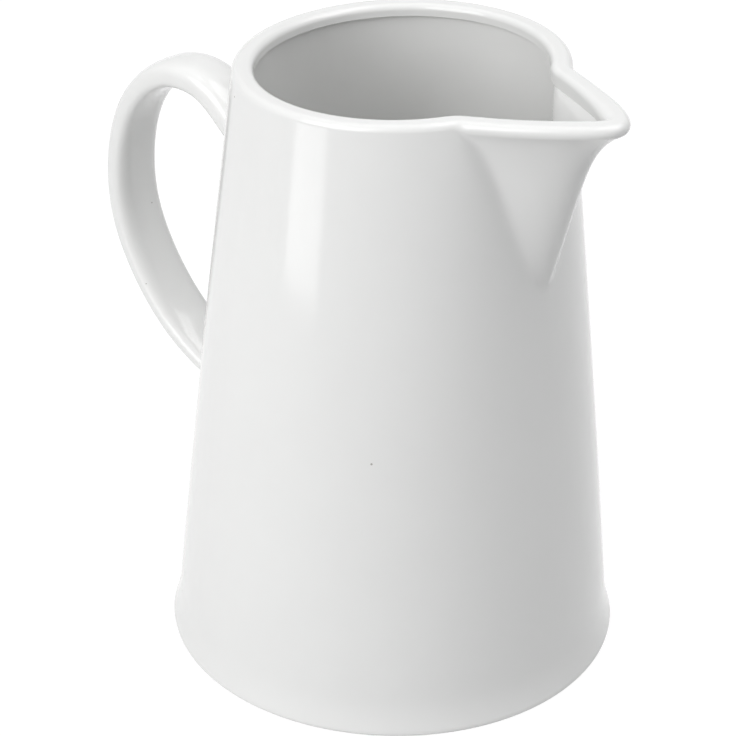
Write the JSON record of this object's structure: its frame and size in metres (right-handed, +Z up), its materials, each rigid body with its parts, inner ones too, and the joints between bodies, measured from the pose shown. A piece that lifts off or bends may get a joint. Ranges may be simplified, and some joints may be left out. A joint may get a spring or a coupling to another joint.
{
  "type": "milk jug",
  "caption": "One-piece glazed ceramic milk jug with a tapering round body, a pinched V spout in a rounded beaded rim and a looped strap handle.",
  "frame": {"origin": "centre of the foot ring, on the surface the jug stands on", "axes": "+Z up, +X from the axis toward the spout, the handle toward -X, +Y to the side, in the right-handed sense"},
  "size_m": [0.1644, 0.1168, 0.1638],
  "materials": {
    "glaze": "glossy white glaze"
  },
  "bodies": {
    "root": {"jug": "glaze"}
  },
  "joints": []
}
